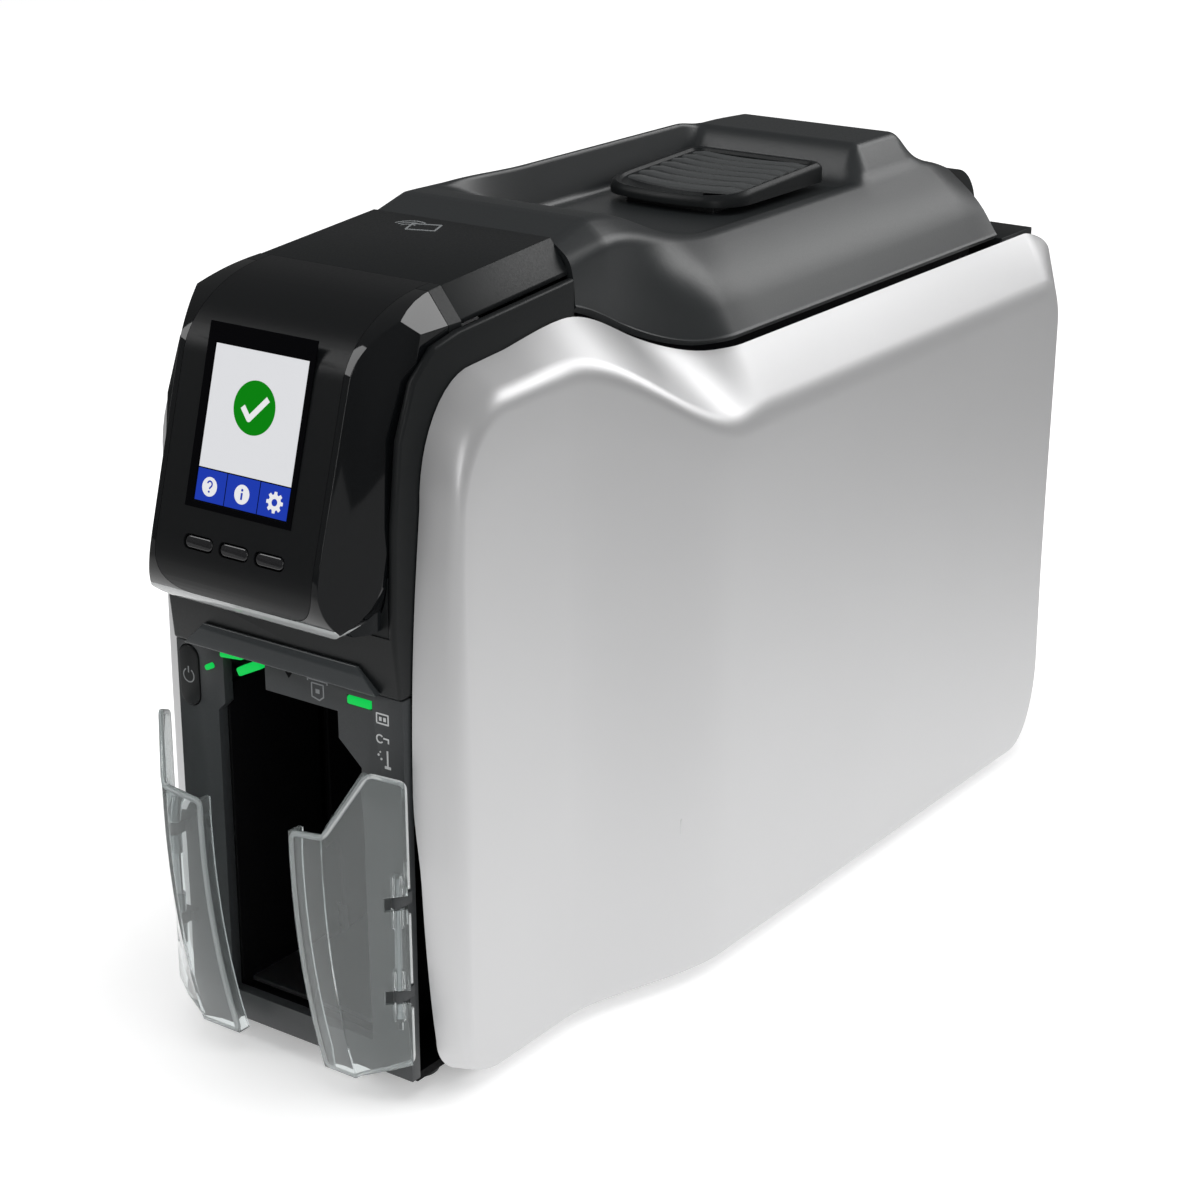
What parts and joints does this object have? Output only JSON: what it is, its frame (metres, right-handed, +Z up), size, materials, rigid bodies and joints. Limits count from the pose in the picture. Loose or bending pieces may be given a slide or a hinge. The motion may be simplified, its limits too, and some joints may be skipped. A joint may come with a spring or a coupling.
{
  "type": "id card printer",
  "caption": "Slim desktop card printer with silver side panels, hinged top lid, display head with buttons, clear hopper doors, rollers and gear train.",
  "frame": {"origin": "middle of the bounding box on the surface that the feet stand on", "axes": "+Z up, +Y from the display towards the back, +X to the right seen from the front"},
  "size_m": [0.158, 0.399, 0.269],
  "materials": {
    "silver_panel": "satin silver",
    "charcoal_plastic": "satin",
    "black_plastic": "matte",
    "gloss_black": "gloss",
    "clear_plastic": "clear gloss",
    "smoky_plastic": "smoky gloss",
    "green_light": "lit",
    "screen_glass": "gloss",
    "circuit_board": "satin",
    "rubber": "matte",
    "white_plastic": "satin",
    "steel": "satin"
  },
  "bodies": {
    "base": {"base_tray": "black_plastic", "chassis_frame": "steel", "left_side_panel": "silver_panel", "right_side_panel": "silver_panel", "front_cover": "charcoal_plastic", "lower_bezel": "charcoal_plastic", "hopper_box": "black_plastic", "chin_strip": "smoky_plastic", "status_lights": "green_light", "display_housing": "black_plastic", "front_fascia": "gloss_black", "lcd_screen": "screen_glass", "clear_visor": "clear_plastic", "contactless_cover": "gloss_black", "reader_board": "circuit_board", "back_cover": "charcoal_plastic", "power_inlet": "black_plastic", "usb_port": "steel", "network_port": "steel", "main_board": "circuit_board", "drive_motor": "steel", "rubber_feet": "rubber", "case_screws": "steel", "lid_hinge_pins": "steel", "door_hinge_pins": "steel", "card_guides": "black_plastic"},
    "lid": {"lid_shell": "charcoal_plastic", "lid_frame": "black_plastic", "latch_pin": "steel", "printhead_bracket": "steel"},
    "release_pad": {"release_pad": "charcoal_plastic"},
    "latch": {"lid_latch": "steel"},
    "printhead": {"printhead": "steel"},
    "left_door": {"left_hopper_door": "clear_plastic"},
    "right_door": {"right_hopper_door": "clear_plastic"},
    "left_button": {"left_menu_button": "gloss_black"},
    "middle_button": {"middle_menu_button": "gloss_black"},
    "right_button": {"right_menu_button": "gloss_black"},
    "power_button": {"power_button": "black_plastic"},
    "lift_plate": {"lift_plate": "steel"},
    "platen": {"platen_roller": "rubber"},
    "pickup": {"pickup_roller": "rubber"},
    "feed_front": {"feed_roller_front": "rubber"},
    "feed_rear": {"feed_roller_rear": "rubber"},
    "cleaning": {"cleaning_roller": "white_plastic"},
    "pinch_front": {"pinch_roller_front": "rubber"},
    "pinch_rear": {"pinch_roller_rear": "rubber"},
    "pinion": {"motor_pinion": "white_plastic"},
    "front_idler": {"front_idler": "white_plastic"},
    "rear_idler": {"rear_idler": "white_plastic"},
    "pickup_idler_near": {"pickup_idler_near": "white_plastic"},
    "pickup_idler_far": {"pickup_idler_far": "white_plastic"},
    "reduction_idler": {"reduction_idler": "white_plastic"},
    "supply": {"supply_spindle": "white_plastic"},
    "takeup": {"takeup_spindle": "white_plastic"}
  },
  "joints": [
    {"name": "lid_hinge", "type": "hinge", "parent": "base", "child": "lid", "pos_m": [0, 0.177, 0.226], "axis": [-1, 0, 0], "range_deg": [0, 75]},
    {"name": "pad_press", "type": "slide", "parent": "lid", "child": "release_pad", "axis": [0, 0, -1], "range_m": [0, 0.0025], "stiffness_N_per_m": 600, "springref_m": -0.002},
    {"name": "latch_swing", "type": "hinge", "parent": "lid", "child": "latch", "pos_m": [0, -0.054, 0.224], "axis": [-1, 0, 0], "range_deg": [0, 12]},
    {"name": "printhead_float", "type": "slide", "parent": "lid", "child": "printhead", "axis": [0, 0, 1], "range_m": [0, 0.002], "stiffness_N_per_m": 1500, "springref_m": -0.003},
    {"name": "left_door_hinge", "type": "hinge", "parent": "base", "child": "left_door", "pos_m": [-0.047, -0.182, 0.057], "axis": [0, 0, -1], "range_deg": [0, 95]},
    {"name": "right_door_hinge", "type": "hinge", "parent": "base", "child": "right_door", "pos_m": [0.047, -0.182, 0.057], "axis": [0, 0, 1], "range_deg": [0, 95]},
    {"name": "left_button_press", "type": "slide", "parent": "base", "child": "left_button", "axis": [0, 0.9613, -0.2756], "range_m": [0, 0.001], "stiffness_N_per_m": 800, "springref_m": -0.001},
    {"name": "middle_button_press", "type": "slide", "parent": "base", "child": "middle_button", "axis": [0, 0.9613, -0.2756], "range_m": [0, 0.001], "stiffness_N_per_m": 800, "springref_m": -0.001},
    {"name": "right_button_press", "type": "slide", "parent": "base", "child": "right_button", "axis": [0, 0.9613, -0.2756], "range_m": [0, 0.001], "stiffness_N_per_m": 800, "springref_m": -0.001},
    {"name": "power_button_press", "type": "slide", "parent": "base", "child": "power_button", "axis": [0, 1, 0], "range_m": [0, 0.001], "stiffness_N_per_m": 800, "springref_m": -0.001},
    {"name": "card_lift", "type": "slide", "parent": "base", "child": "lift_plate", "axis": [0, 0, 1], "range_m": [0, 0.088]},
    {"name": "platen_spin", "type": "hinge", "parent": "base", "child": "platen", "pos_m": [0, 0, 0.123], "axis": [1, 0, 0], "continuous": true},
    {"name": "front_idler_spin", "type": "hinge", "parent": "base", "child": "front_idler", "pos_m": [0, -0.02, 0.123], "axis": [1, 0, 0], "continuous": true},
    {"name": "feed_front_spin", "type": "hinge", "parent": "base", "child": "feed_front", "pos_m": [0, -0.04, 0.123], "axis": [1, 0, 0], "continuous": true},
    {"name": "pickup_idler_near_spin", "type": "hinge", "parent": "base", "child": "pickup_idler_near", "pos_m": [0, -0.06, 0.123], "axis": [1, 0, 0], "continuous": true},
    {"name": "pickup_idler_far_spin", "type": "hinge", "parent": "base", "child": "pickup_idler_far", "pos_m": [0, -0.08, 0.123], "axis": [1, 0, 0], "continuous": true},
    {"name": "pickup_spin", "type": "hinge", "parent": "base", "child": "pickup", "pos_m": [0, -0.09345, 0.1378], "axis": [1, 0, 0], "continuous": true},
    {"name": "rear_idler_spin", "type": "hinge", "parent": "base", "child": "rear_idler", "pos_m": [0, 0.02, 0.123], "axis": [1, 0, 0], "continuous": true},
    {"name": "feed_rear_spin", "type": "hinge", "parent": "base", "child": "feed_rear", "pos_m": [0, 0.04, 0.123], "axis": [1, 0, 0], "continuous": true},
    {"name": "reduction_idler_spin", "type": "hinge", "parent": "base", "child": "reduction_idler", "pos_m": [0, 0.02, 0.103], "axis": [1, 0, 0], "continuous": true},
    {"name": "pinion_spin", "type": "hinge", "parent": "base", "child": "pinion", "pos_m": [0, 0.02, 0.088], "axis": [1, 0, 0], "continuous": true},
    {"name": "cleaning_spin", "type": "hinge", "parent": "base", "child": "cleaning", "pos_m": [0, -0.061, 0.1378], "axis": [1, 0, 0], "continuous": true},
    {"name": "pinch_front_spin", "type": "hinge", "parent": "base", "child": "pinch_front", "pos_m": [0, -0.04, 0.1358], "axis": [1, 0, 0], "continuous": true},
    {"name": "pinch_rear_spin", "type": "hinge", "parent": "base", "child": "pinch_rear", "pos_m": [0, 0.04, 0.1358], "axis": [1, 0, 0], "continuous": true},
    {"name": "supply_spin", "type": "hinge", "parent": "base", "child": "supply", "pos_m": [0, 0.058, 0.174], "axis": [1, 0, 0], "continuous": true},
    {"name": "takeup_spin", "type": "hinge", "parent": "base", "child": "takeup", "pos_m": [0, -0.054, 0.174], "axis": [1, 0, 0], "continuous": true}
  ],
  "couplings": [
    {"joint": "front_idler_spin", "follows": "platen_spin", "ratio": -1},
    {"joint": "feed_front_spin", "follows": "platen_spin", "ratio": 1},
    {"joint": "pickup_idler_near_spin", "follows": "platen_spin", "ratio": -1},
    {"joint": "pickup_idler_far_spin", "follows": "platen_spin", "ratio": 1},
    {"joint": "pickup_spin", "follows": "platen_spin", "ratio": -1},
    {"joint": "rear_idler_spin", "follows": "platen_spin", "ratio": -1},
    {"joint": "feed_rear_spin", "follows": "platen_spin", "ratio": 1},
    {"joint": "reduction_idler_spin", "follows": "platen_spin", "ratio": 1},
    {"joint": "pinion_spin", "follows": "platen_spin", "ratio": -2},
    {"joint": "latch_swing", "follows": "pad_press", "rad_per_m": 80}
  ]
}
